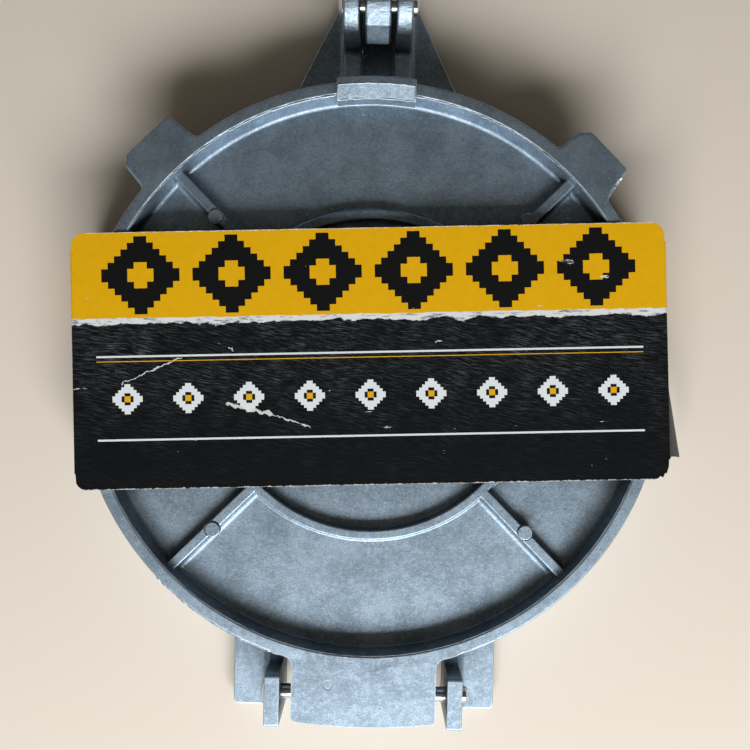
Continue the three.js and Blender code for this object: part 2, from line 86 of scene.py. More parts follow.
# Corners of x, y and an optional radius become a closed outline
def roundCorners(corners, steps=4):
    places = [Vector(corner[:2]) for corner in corners]
    outline = []
    for i, corner in enumerate(corners):
        here = places[i]
        radius = corner[2] if len(corner) > 2 else 0
        if not radius:
            outline.append(here)
            continue
        back = (places[i - 1] - here).normalized()
        ahead = (places[(i + 1) % len(places)] - here).normalized()
        half = back.angle(ahead) / 2
        centre = here + (back + ahead).normalized() * radius / sin(half)
        start = here + back * radius / tan(half) - centre
        end = here + ahead * radius / tan(half) - centre
        sweep = start.angle_signed(end)
        for k in range(steps + 1):
            outline.append(centre + Matrix.Rotation(-sweep * k / steps, 2) @ start)
    return outline


# The outline moved inwards by depth
def inset(outline, depth):
    moved = []
    for i, here in enumerate(outline):
        before = (here - outline[i - 1]).normalized()
        after = (outline[(i + 1) % len(outline)] - here).normalized()
        a = Vector((-before.y, before.x))
        b = Vector((-after.y, after.x))
        moved.append(here + (a + b) * depth / max(1 + a.dot(b), 0.3))
    return moved


# Evenly spaced angles round a circle
def turns(steps, start=0.0):
    return [2 * pi * (k + start) / steps for k in range(steps)]


# Faces between neighbouring rings of points; a ring of one point is a tip, and open ends are capped
def skin(rings, closed=False):
    bm = bmesh.new()
    rings = [[bm.verts.new(spot) for spot in ring] for ring in rings]
    count = max(len(ring) for ring in rings)
    for a, b in zip(rings, rings[1:] + (rings[:1] if closed else [])):
        for i in range(count):
            j = (i + 1) % count
            corners = (a[i % len(a)], a[j % len(a)], b[j % len(b)], b[i % len(b)])
            bm.faces.new(list(dict.fromkeys(corners)))    # a tip counts once
    for ring, order in ((rings[0], -1), (rings[-1], 1)):
        if not closed and len(ring) > 1:
            bm.faces.new(ring[::order])
    return bm


# How an outline that was drawn flat is stood up along another axis
standUp = {
    "X": Matrix(((0, 0, 1, 0), (1, 0, 0, 0), (0, 1, 0, 0), (0, 0, 0, 1))),
    "Y": Matrix(((1, 0, 0, 0), (0, 0, -1, 0), (0, 1, 0, 0), (0, 0, 0, 1))),
    "Z": Matrix.Identity(4),
}


# An outline raised along an axis, with its edges at both ends rounded
def prism(outline, low, high, lowRound=0.0, highRound=0.0, axis="Z", steps=3):
    outline = [Vector(corner) for corner in outline]
    if sum(a.cross(b) for a, b in zip(outline, outline[1:] + outline[:1])) < 0:
        outline = outline[::-1]
    levels = []
    for radius, end, sign in ((lowRound, low, 1), (highRound, high, -1)):
        part = []
        for k in range(steps + 1) if radius else [steps]:
            angle = pi / 2 * k / steps
            part.append((radius * (1 - sin(angle)), end + sign * radius * (1 - cos(angle))))
        levels += part[::sign]
    rings = []
    for depth, height in levels:
        rings.append([(x, y, height) for x, y in (inset(outline, depth) if depth else outline)])
    bm = skin(rings)
    bm.transform(standUp[axis])
    return bm


# A profile of radius and height, from the axis back to the axis, turned round Z
def lathe(profile, steps):
    rings = []
    for radius, height in profile:
        angles = turns(steps if radius else 1)
        rings.append([(radius * cos(angle), radius * sin(angle), height) for angle in angles])
    bm = skin(rings)
    bmesh.ops.recalc_face_normals(bm, faces=bm.faces)
    return bm


# A round rod along X
def rod(y, z, radius, fromX, toX, steps=48):
    return prism([(y + radius * cos(a), z + radius * sin(a)) for a in turns(steps)], fromX, toX, axis="X")


def addObject(name, data):
    thing = bpy.data.objects.new(name, data)
    bpy.context.scene.collection.objects.link(thing)
    return thing


def asObject(name, bm):
    bmesh.ops.recalc_face_normals(bm, faces=bm.faces)
    mesh = bpy.data.meshes.new(name)
    bm.to_mesh(mesh)
    bm.free()
    return addObject(name, mesh)


def setAll(thing, values):
    for key, value in values.items():
        setattr(thing, key, value)


# Adds one modifier and puts its result into the mesh itself
def modify(piece, kind, **values):
    setAll(piece.modifiers.new(kind, kind), values)
    graph = bpy.context.evaluated_depsgraph_get()
    mesh = bpy.data.meshes.new_from_object(piece.evaluated_get(graph))
    old = piece.data
    piece.modifiers.clear()
    piece.data = mesh
    bpy.data.meshes.remove(old)


def cut(piece, tools, operation="DIFFERENCE"):
    for bm in tools if isinstance(tools, list) else [tools]:
        tool = bm if isinstance(bm, bpy.types.Object) else asObject("tool", bm)
        modify(piece, "BOOLEAN", object=tool, operation=operation, solver="MANIFOLD")
        bpy.data.objects.remove(tool)
    return piece


def join(piece, tools):
    return cut(piece, tools, "UNION")


# Rounds the sharp edges of a cut piece before it is joined to the rest
def soften(piece, width, steps=2):
    bm = bmesh.new()
    bm.from_mesh(piece.data)
    bmesh.ops.remove_doubles(bm, verts=bm.verts, dist=2e-3)
    bmesh.ops.dissolve_limit(bm, angle_limit=radians(0.3), verts=bm.verts, edges=bm.edges)
    bm.to_mesh(piece.data)
    bm.free()
    modify(piece, "BEVEL", width=width, segments=steps, limit_method="ANGLE", angle_limit=radians(40))
    return piece


# Shades smooth, with an edge kept sharp from an angle on
def smooth(piece, angle):
    for polygon in piece.data.polygons:
        polygon.use_smooth = True
    piece.data.set_sharp_from_angle(angle=radians(angle))


# Flats stay flat and round edges shade smooth
def shade(piece, angle=32):
    smooth(piece, angle)
    modify(piece, "WEIGHTED_NORMAL", keep_sharp=True, weight=50)


# A value that wanders smoothly between -1 and 1 as the spot moves
def wander(x, y, z, size):
    return noise.noise(Vector((x, y, z)) / size)


# From millimetres round a place, and turned there, to the row frame
def toFrame(piece, spot=discSpot, turn=Matrix.Identity(4)):
    piece.data.transform(Matrix.Translation(spot * mm) @ Matrix.Scale(mm, 4) @ turn)


# The piece's own materials in place of any that the cuts left
def dress(piece, *materials):
    piece.data.materials.clear()
    for material in materials:
        piece.data.materials.append(material)


tree = None


# All node functions below fill the tree that was begun last
def beginTree(owner):
    global tree
    owner.use_nodes = True
    tree = owner.node_tree


def newMaterial(name):
    material = bpy.data.materials.new(name)
    beginTree(material)
    return material, tree.nodes["Principled BSDF"]


# A node's sockets get plain values, or links where the value is another node's output
def feed(made, values):
    for key, value in values.items():
        socket = made.inputs[key]
        if isinstance(value, bpy.types.NodeSocket):
            tree.links.new(value, socket)
        else:
            socket.default_value = value
    return made


def node(kind, values=None, **props):
    made = tree.nodes.new("ShaderNode" + kind)
    setAll(made, props)
    return feed(made, values or {})


# A plain grey as a colour
def grey(value):
    return (value, value, value, 1)


# Colours or greys at places from 0 to 1
def ramp(value, stops):
    made = node("ValToRGB", {"Fac": value})
    elements = made.color_ramp.elements
    while len(elements) < len(stops):
        elements.new(0.5)
    for element, (place, colour) in zip(elements, stops):
        element.position = place
        element.color = colour if isinstance(colour, tuple) else grey(colour)
    return made.outputs["Color"]


def calc(operation, a, b=0.0, clamp=False):
    return node("Math", {0: a, 1: b}, operation=operation, use_clamp=clamp).outputs[0]


plus = partial(calc, "ADD")
minus = partial(calc, "SUBTRACT")
times = partial(calc, "MULTIPLY")
larger = partial(calc, "MAXIMUM")


# The same for vectors; the second one is left out where the operation has none
def vectorCalc(operation, a, b=(0, 0, 0), out="Vector", **values):
    return node("VectorMath", {0: a, 1: b, **values}, operation=operation).outputs[out]


def parts(coords):
    return node("SeparateXYZ", {0: coords}).outputs


# A value carried from one range into another and held there
def carry(value, low, high, toLow=0.0, toHigh=1.0, kind="LINEAR"):
    values = {"Value": value, "From Min": low, "From Max": high, "To Min": toLow, "To Max": toHigh}
    return node("MapRange", values, interpolation_type=kind).outputs[0]


def mixColours(share, a, b, blend="MIX"):
    return node("Mix", {0: share, 6: a, 7: b}, data_type="RGBA", blend_type=blend).outputs[2]


def mapped(coords, **values):
    return node("Mapping", {"Vector": coords, **values}).outputs[0]


# Noise between 0 and 1
def spread(coords, scale, detail=4.0, rough=0.55, out="Fac"):
    values = {"Vector": coords, "Scale": scale, "Detail": detail, "Roughness": rough}
    return node("TexNoise", values).outputs[out]


def relief(height, strength, distance):
    return node("Bump", {"Height": height, "Strength": strength, "Distance": distance}).outputs[0]


# Scales are per metre, lengths are in metres
castFinish = {
    "colour": (0.362, 0.444, 0.526, 1),
    "dark": (0.235, 0.296, 0.356, 1),
    # bright: worn metal at nicks and scratches, and on the rubbed edges partly a painted highlight
    "bright": (0.74, 0.81, 0.87, 1),
    # painted shade colour for the deep corners
    "cornerShade": (0.26, 0.25, 0.22, 1),
    "pit": (0.10, 0.12, 0.14, 1),
    "grain": 1900.0,
    "mottle": 460.0,
    "cloud": 70.0,
    # marks: scale, edge of a mark, scale and detail of their patches, where a patch starts and its strength
    "pits": (700.0, (0.10, 0.26), 260.0, 4, (0.53, 0.60, 0.75)),
    "nicks": (520.0, (0.06, 0.18), 170.0, 3, (0.555, 0.60, 1.0)),
    "scratches": (110.0, (0.002, 0.010), 90.0, 3, (0.64, 0.68, 0.8)),
    "scratchBend": (60.0, 0.03),
    "cornerReach": 0.022,
    "rubbedReach": 0.0007,
    "reliefDepth": 0.00016,
    "roughness": 0.56,
    "wornRoughness": 0.34,
}


# Satin casting: clouded, finely speckled, with small nicks, a few scratches, painted shade in the deep
# corners, and rubbed edges that are partly a painted highlight
def castAluminium(name, shine=0.0, seed=0.0, coarse=1.0):
    c = castFinish
    material, shader = newMaterial(name)
    place = mapped(node("TexCoord").outputs["Object"], Location=(seed, seed * 0.7, seed * 0.3))

    def marks(scale, edge, patchScale, detail, patch, where=place, feature="F1"):
        cells = node("TexVoronoi", {"Vector": where, "Scale": scale}, feature=feature)
        shape = ramp(cells.outputs["Distance"], [(edge[0], 1.0), (edge[1], 0.0)])
        patches = spread(place, patchScale, detail, 0.7)
        return times(shape, ramp(patches, [(patch[0], 0.0), (patch[1], patch[2])]))

    grain = spread(place, c["grain"], 3, 0.7)
    mottle = spread(place, c["mottle"], 5, 0.62)
    cloud = spread(place, c["cloud"], 6, 0.66)
    tone = plus(times(mottle, 0.5), times(cloud, 0.5))
    colour = mixColours(ramp(tone, [(0.43, 0.0), (0.57, 1.0)]), c["dark"], c["colour"])
    colour = mixColours(1.0, colour, ramp(grain, [(0.36, 0.76), (0.64, 1.24)]), "MULTIPLY")
    # painted shade: darker and brownish in the deep corners, from ambient occlusion
    hollow = node("AmbientOcclusion", {"Distance": c["cornerReach"]}, samples=6).outputs["AO"]
    colour = mixColours(1.0, colour, ramp(hollow, [(0.12, c["cornerShade"]), (0.62, 1.0)]), "MULTIPLY")
    # dark pits, bright nicks and scratches
    pit = marks(*c["pits"])
    nick = marks(*c["nicks"])
    bendScale, bendShare = c["scratchBend"]
    bent = mixColours(bendShare, place, spread(place, bendScale, 2, 0.5, "Color"))
    scratch = marks(*c["scratches"], bent, "DISTANCE_TO_EDGE")
    # edges rubbed bright: partly real wear, partly a painted highlight along every rounded edge
    rounded = node("Bevel", {"Radius": c["rubbedReach"]}, samples=6).outputs[0]
    flat = node("NewGeometry").outputs["True Normal"]
    bend = vectorCalc("DOT_PRODUCT", rounded, flat, "Value")
    rubbedAndHighlit = ramp(plus(bend, times(minus(mottle, 0.5), 0.25)), [(0.86, 1.0), (0.985, 0.0)])
    # worn: nicks and scratches, and the rubbed edges that are partly a painted highlight
    worn = larger(times(larger(nick, scratch), 0.7), rubbedAndHighlit)
    colour = mixColours(worn, mixColours(pit, colour, c["pit"]), c["bright"])
    middle = c["roughness"] - shine
    rough = ramp(mottle, [(0.3, middle + 0.05), (0.7, middle - 0.05)])
    height = plus(times(grain, 0.30), times(mottle, 0.70))
    height = minus(height, times(larger(nick, pit), 0.3))
    feed(shader, {
        "Base Color": colour,
        "Metallic": 1.0,
        "Roughness": mixColours(worn, rough, grey(c["wornRoughness"])),
        "Normal": relief(height, 0.6, c["reliefDepth"] * coarse),
    })
    return material


rivetFinish = {
    "dark": (0.50, 0.52, 0.54, 1),
    "bright": (0.74, 0.76, 0.78, 1),
    "roughness": 0.18,
    "lines": 2600.0,       # per metre
    "lineStretch": 0.12,
    "cloud": 350.0,
    "reliefDepth": 0.00006,
}


def rivetSteel(name):
    c = rivetFinish
    material, shader = newMaterial(name)
    coords = node("TexCoord").outputs["Object"]
    lines = spread(mapped(coords, Scale=(c["lineStretch"], 1, 1)), c["lines"], 3)
    cloud = spread(coords, c["cloud"], 3)
    feed(shader, {
        "Base Color": mixColours(cloud, c["dark"], c["bright"]),
        "Metallic": 1.0,
        "Roughness": plus(times(cloud, 0.16), c["roughness"]),
        "Normal": relief(plus(lines, cloud), 0.35, c["reliefDepth"]),
    })
    return material


casting = castAluminium("castAluminium")
groundCasting = castAluminium("groundAluminium", shine=0.20, seed=0.37, coarse=7.0)
coarseCasting = castAluminium("coarseAluminium", shine=-0.10, seed=0.61, coarse=22.0)
rivetMetal = rivetSteel("rivetSteel")


quarterTurns = [Matrix.Rotation(pi / 4 + i * pi / 2, 4, "Z") for i in range(4)]


# The four ribs and their studs, standing up (rise 1) or hanging down (rise -1) from a face
def ribsAndStuds(face, rise):
    p = plates
    tip = face + rise * p["ribHeight"]
    root = face - rise * 1.0
    half = p["ribWidth"] / 2
    foot = half + 0.5
    wide = foot + 3.0
    on = face - rise * 0.01
    section = roundCorners([
        (-wide, root), (wide, root), (wide, on), (foot, on, 2.2), (half, tip, 0.6),
        (-half, tip, 0.6), (-foot, on, 2.2), (-wide, on),
    ], 5)
    inner = p["ringRadius"] - p["ringWidth"] / 2
    low, high = sorted((tip + rise * p["studRise"], root))
    lowEdge, highEdge = (0, p["studEdge"]) if rise > 0 else (p["studEdge"], 0)
    profile = roundCorners([
        (0, low), (p["studRadius"], low, lowEdge), (p["studRadius"], high, highEdge), (0, high),
    ])
    made = []
    for turn in quarterTurns:
        rib = prism(section, inner, wallMiddle, axis="X")
        rib.transform(turn)
        stud = lathe(profile, 40)
        stud.transform(turn @ Matrix.Translation((p["studReach"], p["studOffset"], 0)))
        made += [rib, stud]
    return made


# A narrow groove round each stud, where the rib's top meets it
def studGrooves(face, rise):
    p = plates
    tip = face + rise * p["ribHeight"]
    low, high = sorted((tip - rise * p["grooveDepth"], tip + rise))
    near, far = p["studRadius"] - 0.04, p["studRadius"] + p["grooveWidth"]
    section = ((near, low), (far, low), (far, high), (near, high))
    made = []
    for turn in quarterTurns:
        rings = [[(r * cos(a), r * sin(a), z) for r, z in section] for a in turns(36, 0.3)]
        groove = skin(rings, closed=True)
        groove.transform(turn @ Matrix.Translation((p["studReach"], p["studOffset"], 0)))
        made.append(groove)
    return made


upperDetails = {
    "lugs": ((45, 21.6, 3.0), (135, 23.8, 2.0)),    # turn in degrees, width, flare at the rear
    "lugLength": 12.2,
    "lugFlare": 1.0,
    "lugHeight": 8.0,
    "lugCut": 2.8,
    "lugDraft": 0.9,
    "edge": 0.8,
    "padWidth": 29.2,
    "padRise": 2.0,
    "padProud": 1.0,
    "padFlat": 2.8,
    "padRamp": 4.9,
    "padDrop": 2.0,
    # rough mould lines: how far in and down, half width and height, seed; a short one's turns and steps
    "rimFlash": (("inner", 0.15, 0.30, 0.50, 0.34, 3.0),
                 ("outer", 0.05, 0.75, 0.55, 0.55, 5.0, 3.92, 4.42, 120)),
    "padFlash": ((2.8, 0.05, 0.30, 0.20, 6.0), (7.7, 2.10, 0.45, 0.30, 9.0)),
    "tabWidth": 53.0,
    "tabTail": 9.0,
    "tabCrown": 1.6,
    "tabTop": 4.0,
    "tabCheek": 5.0,
    "tabSkirt": 4.0,
    "tabFlare": 8.0,
    "skirtBottom": 9.5,
    "barrelRadius": 8.0,
    # bites out of the right lug: how far in, size, height over the edge
    "chips": ((3.0, 1.3, 0.0), (4.8, 1.7, -0.3), (6.4, 2.0, -0.5), (7.9, 2.0, -0.4), (9.3, 1.8, -0.1)),
    "pinMarks": ((-13.1, -114.2, 0.16), (-2.8, -112.3, 0.04)),    # x, y, depth
    "pinRadius": 2.1,
    "pinSlope": 0.45,
}


def upperDisc():
    p = plates
    ring, ringInner = p["ringRadius"], p["ringRadius"] - p["ringWidth"]
    floor, top, low = p["recessFloor"], p["rimTop"], p["partingPlane"]
    ringTop = floor + p["ribHeight"]
    profile = roundCorners([
        (0, low), (p["radius"] + p["draft"], low, 0.5), (p["radius"], top, 0.9), (rimInner, top, 0.7),
        (rimInner - p["recessDraft"], floor, 1.8), (ring + 0.5, floor, 1.1), (ring, ringTop, 0.7),
        (ringInner, ringTop, 0.7), (ringInner - 0.5, floor, 1.1), (0, floor),
    ])
    return lathe(profile, p["steps"])


# Points along a circle round the plates, from one angle to another
def arcPoints(radius, fromAngle, toAngle, steps=12):
    angles = [fromAngle + (toAngle - fromAngle) * k / steps for k in range(steps + 1)]
    return [(radius * cos(angle), radius * sin(angle)) for angle in angles]


# How far the plates' rim reaches at a distance from their middle line
def onRim(aside):
    return sqrt(plates["radius"] ** 2 - aside ** 2)


def lug(degrees, width, rearFlare):
    d = upperDetails
    radius = plates["radius"]
    end = width / 2
    root = end + d["lugFlare"]
    rear = end + rearFlare
    flare = max(root, rear) + 4.0
    reach = radius + d["lugLength"]
    corner = d["lugCut"]
    angle = asin(flare / wallMiddle)
    outline = roundCorners([
        (onRim(flare), -flare), (onRim(rear), -rear, 2.2), (reach, -end, 1.1), (reach, end - corner, 0.5),
        (reach - corner, end, 0.5), (onRim(root), root, 2.2), (onRim(flare), flare),
        *arcPoints(wallMiddle, angle, -angle),
    ])
    top = plates["rimTop"]
    bm = prism(outline, top - d["lugHeight"], top, d["edge"], d["edge"])
    for vertex in bm.verts:
        lean = d["lugDraft"] * (top - vertex.co.z) / d["lugHeight"]
        if vertex.co.x > radius - 1:
            vertex.co.x += lean * (vertex.co.x - radius) / d["lugLength"]
        vertex.co.y += lean * vertex.co.y / root
    bm.transform(Matrix.Rotation(radians(degrees), 4, "Z"))
    return bm


# Bites out of the upper edge of a lug's rear side, broken in flat facets
def lugChips(degrees, width, rearFlare):
    d = upperDetails
    bites = []
    for inwards, size, high in d["chips"]:
        bm = bmesh.new()
        bmesh.ops.create_icosphere(bm, subdivisions=1, radius=size)
        for vertex in bm.verts:
            vertex.co *= 1 + 0.5 * wander(*(vertex.co + Vector((inwards, 0, 0))), 1.7)
        reach = plates["radius"] + d["lugLength"] - inwards
        side = -width / 2 - rearFlare * inwards / d["lugLength"] - 0.35
        spot = Matrix.Translation((reach, side, plates["rimTop"] + high))
        bm.transform(Matrix.Rotation(radians(degrees), 4, "Z") @ spot)
        bites.append(bm)
    return bites


# The raised pad that the lever bears on, curved with the rim and ramped towards the recess
def pad(steps=24):
    d = upperDetails
    outer = plates["radius"] + d["padProud"]
    top = plates["rimTop"] + d["padRise"]
    start = outer - d["padFlat"]
    end = start - d["padRamp"]
    floor = plates["recessFloor"] - 1
    section = roundCorners([
        (end, floor), (outer, floor), (outer, top, 0.5), (start, top), (end, top - d["padDrop"], 0.3),
    ], 3)
    rings = []
    for k in range(steps + 1):
        x = -d["padWidth"] / 2 + d["padWidth"] * k / steps
        rings.append([(x, sqrt(r * r - x * x), z) for r, z in section])
    return soften(asObject("pad", skin(rings)), 0.3)


# The thin uneven line of metal that the mould leaves along an edge, heavier towards the front
def flashBead(radius, height, wide, high, seed, fromTurn=0.0, toTurn=2 * pi, steps=900, sides=6):
    closed = toTurn - fromTurn > 6
    rings = []
    for i in range(steps if closed else steps + 1):
        turn = fromTurn + (toTurn - fromTurn) * i / steps
        x, y = cos(turn) * radius, sin(turn) * radius
        size = max(0.72 + 0.45 * wander(x, y, seed, 7.0) + 0.55 * wander(x, y, seed, 1.3), 0.25)
        if closed:
            size *= 0.62 + 0.38 * sin(turn)
        away = radius + 0.10 * wander(x, y, seed + 7, 3.0)
        ring = []
        for angle in turns(sides):
            reach = away + wide * size * cos(angle)
            ring.append((reach * cos(turn), reach * sin(turn), height + high * size * sin(angle)))
        rings.append(ring)
    return skin(rings, closed)


# The round mark that a pushing pin of the mould leaves in the rim's face
def pinMark(x, y, deep):
    radius = upperDetails["pinRadius"]
    foot = radius - upperDetails["pinSlope"]
    low, high = plates["rimTop"] - deep, plates["rimTop"] + 0.2
    mark = lathe([(0, low), (foot, low), (radius, high), (0, high)], 32)
    mark.transform(Matrix.Translation((x, y, 0)))
    return mark


def hingeTab():
    p, d = plates, upperDetails
    rearY = hingeY - d["tabTail"]
    skirtY = rearY + d["tabSkirt"]
    half = d["tabWidth"] / 2
    flare = half + d["tabFlare"]
    angle = asin(flare / wallMiddle)
    rear = [(half * s, rearY + d["tabCrown"] * s * s) for s in [k / 8 - 1 for k in range(17)]]
    rear[0] += (1.5,)
    rear[-1] += (1.5,)
    plan = roundCorners([
        *rear, (half, -onRim(half), 4.0), (flare, -onRim(flare)),
        *arcPoints(wallMiddle, -pi / 2 + angle, -pi / 2 - angle, 16),
        (-flare, -onRim(flare)), (-half, -onRim(half), 4.0),
    ])
    low, top = p["partingPlane"], p["rimTop"]
    behind = rearY - 1
    inside = -wallMiddle + 4
    block = ((inside, low), (inside, top), (behind, top), (behind, low))
    skirt = ((behind, d["skirtBottom"]), (skirtY, d["skirtBottom"]), (skirtY, top), (behind, top))
    piece = asObject("tab", prism(block, -flare - 1, flare + 1, axis="X"))
    join(piece, [
        prism(skirt, -half, half, axis="X"),
        rod(hingeY, hingeSpot.z, d["barrelRadius"], -half, half, 64),
    ])
    cut(piece, prism(plan, 0, top + 1), "INTERSECT")
    hollowHalf = half - d["tabCheek"]
    front = -p["radius"] - 4
    hollow = roundCorners([
        (-hollowHalf, skirtY, 2), (hollowHalf, skirtY, 2), (hollowHalf, front, 2), (-hollowHalf, front, 2),
    ])
    bore = rod(hingeY, hingeSpot.z, p["boreRadius"], -flare, flare)
    cut(piece, [prism(hollow, 0, top - d["tabTop"]), bore])
    return soften(piece, 0.55)


def makeUpperPlate():
    p, d = plates, upperDetails
    piece = asObject("press_top_casting", upperDisc())
    join(piece, ribsAndStuds(p["recessFloor"], 1))
    cut(piece, studGrooves(p["recessFloor"], 1))
    join(piece, [*(lug(*values) for values in d["lugs"]), hingeTab(), pad()])
    edges = {"inner": rimInner, "outer": p["radius"]}
    beads = []
    for edge, inwards, down, wide, high, *rest in d["rimFlash"]:
        beads.append(flashBead(edges[edge] - inwards, p["rimTop"] - down, wide, high, *rest))
    for inwards, down, wide, high, seed in d["padFlash"]:
        radius = p["radius"] + d["padProud"] - inwards
        span = asin((d["padWidth"] / 2 - 0.5) / radius)
        height = p["rimTop"] + d["padRise"] - down
        beads.append(flashBead(radius, height, wide, high, seed, pi / 2 - span, pi / 2 + span, 80))
    join(piece, beads)
    cut(piece, lugChips(*d["lugs"][0]))
    cut(piece, [pinMark(*values) for values in d["pinMarks"]])
    shade(piece)
    toFrame(piece)
    dress(piece, casting)
    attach(piece, "top")
    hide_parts("upper_plate")
    return piece


lowerDetails = {
    "earInner": 30.8,
    "earWidth": 5.7,
    "earTop": 29.6,
    "earNose": 9.9,
    "earTail": 9.9,
    "armTop": 13.0,
    "wingSpan": 51.0,
    "wingHeight": 6.8,
    "clevisReach": 26.8,
    "clevisInner": 6.8,
    "clevisWall": 5.75,
    "clevisRadius": 10.5,
    "innerDraft": 0.8,
    "outerDraft": 0.65,
    "webTop": 12.0,
    "tongueRoot": 70.0,
    "tongueTip": 27.0,
    "tongueTail": 13.2,
    "tongueHeight": 7.0,
}


def lowerDisc():
    p = plates
    ceiling = p["lowerHeight"] - p["lowerWeb"]
    tip = ceiling - p["ribHeight"]
    ring, ringInner = p["ringRadius"], p["ringRadius"] - p["ringWidth"]
    profile = roundCorners([
        (0, ceiling), (ringInner - 0.5, ceiling, 1.1), (ringInner, tip, 0.7), (ring, tip, 0.7),
        (ring + 0.5, ceiling, 1.1), (rimInner - p["recessDraft"], ceiling, 1.8), (rimInner, 0, 0.6),
        (p["radius"], 0, 0.6), (p["radius"] + p["draft"], p["lowerHeight"], 0.6), (0, p["lowerHeight"]),
    ])
    return lathe(profile, p["steps"])


# An ear, its arm and its wing as one section along Y, then cut to its side view and plan
def hingeEar(side):
    d = lowerDetails
    inner, outer = side * d["earInner"], side * (d["earInner"] + d["earWidth"])
    above = d["earTop"] + 5
    within = side * (d["earInner"] - 1)
    wing = side * d["wingSpan"]
    rear = hingeY - d["earTail"]
    nose = hingeY + d["earNose"]
    section = roundCorners([
        (inner, 0), (wing, 0), (wing, d["wingHeight"]), (outer, d["wingHeight"], 4.0),
        (outer, above), (inner, above),
    ], 6)
    piece = asObject("ear", prism(section, rootStart, -rear, axis="Y"))
    view = roundCorners([
        (rear, -1), (rear, d["earTop"], 1.2), (nose, d["earTop"], 1.8), (nose, d["armTop"], 4.0),
        (1 - rootStart, d["armTop"]), (1 - rootStart, -1),
    ], 6)
    cut(piece, prism(view, -60, 60, axis="X"), "INTERSECT")
    edge = sqrt(wallMiddle ** 2 - d["wingSpan"] ** 2) - plates["rimWidth"]
    plan = roundCorners([(within, rear - 1), (wing, rear, 2.0), (wing, -edge), (within, -rootStart)], 6)
    cut(piece, prism(plan, -1, 60), "INTERSECT")
    return soften(piece, 0.5)


def clevisEar(side):
    d = lowerDetails
    axisY = plates["radius"] + d["clevisReach"]
    crown = d["clevisRadius"]
    top = leverSpot.z + crown
    outline = roundCorners([
        (rootStart, 0), (axisY + crown, 0), (axisY + crown, top, crown), (axisY - crown, top, crown),
        (axisY - crown, d["webTop"], 3.0), (rootStart, d["webTop"]),
    ], 12)
    inner = side * d["clevisInner"]
    outer = side * (d["clevisInner"] + d["clevisWall"])
    bm = prism(outline, *sorted((inner, outer)), 0.9, 0.9, axis="X")
    middle = (inner + outer) / 2
    for vertex in bm.verts:
        drop = (top - vertex.co.z) / top
        lean = d["outerDraft"] if (vertex.co.x - middle) * side > 0 else -d["innerDraft"]
        vertex.co.x += side * lean * drop
    return bm


# A hollow round between an upright face at x and a floor at z
def innerCorner(x, z, radius, side, fromY, toY):
    shape = roundCorners([
        (x - side, z - 1), (x + side * radius, z - 1), (x + side * radius, z - 0.01), (x, z - 0.01, radius),
        (x, z + radius), (x - side, z + radius),
    ], 6)
    return prism(shape, -toY, -fromY, axis="Y")


def tongue():
    d = lowerDetails
    end = plates["radius"] + d["clevisReach"] + d["tongueTail"]
    root, tip = d["tongueRoot"] / 2, d["tongueTip"] / 2
    shape = roundCorners([
        (-root, rootStart), (root, rootStart), (root, rimInner), (tip, end, 3.0),
        (-tip, end, 3.0), (-root, rimInner),
    ], 6)
    return prism(shape, 0, d["tongueHeight"], 0.3, 0.9)


# The space inside the plate's wall, which arms and tongue are kept out of
def core():
    return lathe([(0, -2), (wallMiddle, -2), (wallMiddle, 60), (0, 60)], plates["steps"])


def makeLowerPlate():
    p, d = plates, lowerDetails
    axisY = p["radius"] + d["clevisReach"]
    top = leverSpot.z + d["clevisRadius"]
    height = d["tongueHeight"]
    share = (top - height) / top
    outerFoot = d["clevisInner"] + d["clevisWall"] + d["outerDraft"] * share
    innerFoot = d["clevisInner"] + d["innerDraft"] * share
    end = axisY + d["clevisRadius"] - 1.5
    front = asObject("front", tongue())
    join(front, [clevisEar(-1), clevisEar(1)])
    for side in (-1, 1):
        join(front, innerCorner(side * outerFoot, height, 3.0, side, rootStart, end))
        join(front, innerCorner(side * innerFoot, height, 1.6, -side, rootStart, end))
    cut(front, [core(), rod(axisY, leverSpot.z, p["boreRadius"], -30, 30)])
    piece = asObject("press_base_casting", lowerDisc())
    join(piece, ribsAndStuds(p["lowerHeight"] - p["lowerWeb"], -1))
    for side in (-1, 1):
        bore = rod(hingeY, hingeSpot.z, p["boreRadius"], -60, 60)
        join(piece, cut(hingeEar(side), [core(), bore]))
    join(piece, front)
    for vertex in piece.data.vertices:
        vertex.co.z = max(vertex.co.z, 0.0)
    shade(piece)
    toFrame(piece)
    dress(piece, casting, groundCasting)
    clevisStart = (discSpot.y + p["radius"] + 2) * mm
    for polygon in piece.data.polygons:
        # the clevis ears are ground smooth above the tongue
        if polygon.center.y > clevisStart and polygon.center.z > (height + 1.5) * mm:
            polygon.material_index = 1
    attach(piece, "base")
    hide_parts("lower_plate")
    return piece


topCasting = makeUpperPlate()
print("upper casting made:", len(topCasting.data.polygons), "faces")
baseCasting = makeLowerPlate()
print("lower casting made:", len(baseCasting.data.polygons), "faces")

# Lengths along the lever start at its pivot; depths are above and below it
leverDetails = {
    "width": 9.6,
    "reach": 214.9,
    "heel": 10.0,
    "eyeRound": 10.2,
    "heelTop": 7.0,
    "heelBottom": 9.5,
    "eye": 11.0,
    "pressStart": 20.0,
    "pressFace": 4.5,
    "depth": 10.0,
    "tipDepth": 6.5,
    "beamEnd": 140.0,
    "taperEnd": 118.0,
    "edge": 1.2,
    "pocket": (24.0, 106.0),
    "pocketFlange": 3.0,
    "pocketDepth": 2.8,
    "pocketRound": 2.4,
    "gripStart": 112.0,
    "gripFull": 150.0,
    "gripHalf": (9.5, 7.0),
    "gripRound": 10.0,
    "gripRoot": (4.0, 4.6),
    "squareness": 2.6,
    "clearance": 0.2,
}


